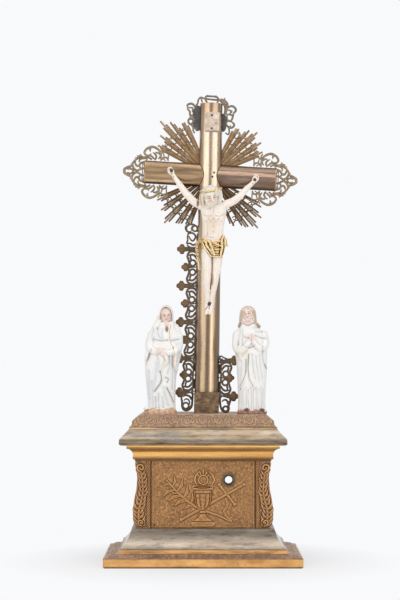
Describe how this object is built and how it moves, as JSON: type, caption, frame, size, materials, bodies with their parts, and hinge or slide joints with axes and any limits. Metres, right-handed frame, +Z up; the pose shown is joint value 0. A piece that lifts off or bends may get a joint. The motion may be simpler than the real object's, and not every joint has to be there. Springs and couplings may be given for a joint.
{
  "type": "standing altar crucifix",
  "caption": "Standing altar crucifix: half-round brass cross with pierced scrolls, rays and a bisque body, lifted from a moulded, stamped pedestal with bisque figures.",
  "frame": {"origin": "on the floor at the middle of the base board", "axes": "+Z up, front faces -Y, +X to the right of someone who looks at the front"},
  "size_m": [0.231, 0.16, 0.5575],
  "materials": {
    "bare_wood": "raw softwood, aged brown",
    "gilt_wood": "oil gilding over wood, rubbed",
    "stamped_foil": "stamped gilt brass foil over wood, tarnished",
    "silvered": "silvered foil over wood, worn to warm grey",
    "stamped_panel": "stamped gilt brass sheet, toned brown in the ground",
    "brass_sheet": "polished sheet brass, lightly tarnished",
    "pierced_brass": "pierced sheet brass, darkened",
    "tack_brass": "brass tacks and nails, bright on the crown",
    "bisque": "white bisque, with rubbed gilding and soft tints",
    "cream_enamel": "cream enamel, left bare"
  },
  "bodies": {
    "pedestal": {"carcass_front": "bare_wood", "carcass_left": "bare_wood", "carcass_right": "bare_wood", "deck_board": "bare_wood", "socket_block": "bare_wood", "base_board": "gilt_wood", "front_cavetto": "gilt_wood", "left_cavetto": "gilt_wood", "right_cavetto": "gilt_wood", "front_border": "stamped_foil", "left_border": "stamped_foil", "right_border": "stamped_foil", "left_pilaster": "stamped_foil", "right_pilaster": "stamped_foil", "left_side_panel": "stamped_foil", "right_side_panel": "stamped_foil", "front_rim": "stamped_foil", "left_rim": "stamped_foil", "right_rim": "stamped_foil", "front_lower_moulding": "silvered", "left_lower_moulding": "silvered", "right_lower_moulding": "silvered", "front_cornice": "silvered", "left_cornice": "silvered", "right_cornice": "silvered", "front_panel": "stamped_panel", "panel_tacks": "tack_brass", "left_figure": "bisque", "right_figure": "bisque"},
    "cross": {"upright_sheath": "brass_sheet", "left_arm_sheath": "brass_sheet", "right_arm_sheath": "brass_sheet", "left_cap": "brass_sheet", "right_cap": "brass_sheet", "top_cap": "brass_sheet", "left_trefoil": "pierced_brass", "right_trefoil": "pierced_brass", "top_trefoil": "pierced_brass", "upper_left_rays": "pierced_brass", "upper_right_rays": "pierced_brass", "lower_left_rays": "pierced_brass", "lower_right_rays": "pierced_brass", "left_gallery": "pierced_brass", "right_gallery": "pierced_brass", "corpus_body": "bisque", "corpus_left_arm": "bisque", "corpus_right_arm": "bisque", "title_plaque": "cream_enamel", "upright_core": "bare_wood", "beam_core": "bare_wood", "scrollwork_tacks": "tack_brass", "ray_tacks": "tack_brass", "plaque_pins": "tack_brass", "corpus_nails": "tack_brass"}
  },
  "joints": [
    {"name": "cross_lift", "type": "slide", "parent": "pedestal", "child": "cross", "axis": [0.0166, 0, 0.9999], "range_m": [0, 0.05]}
  ]
}
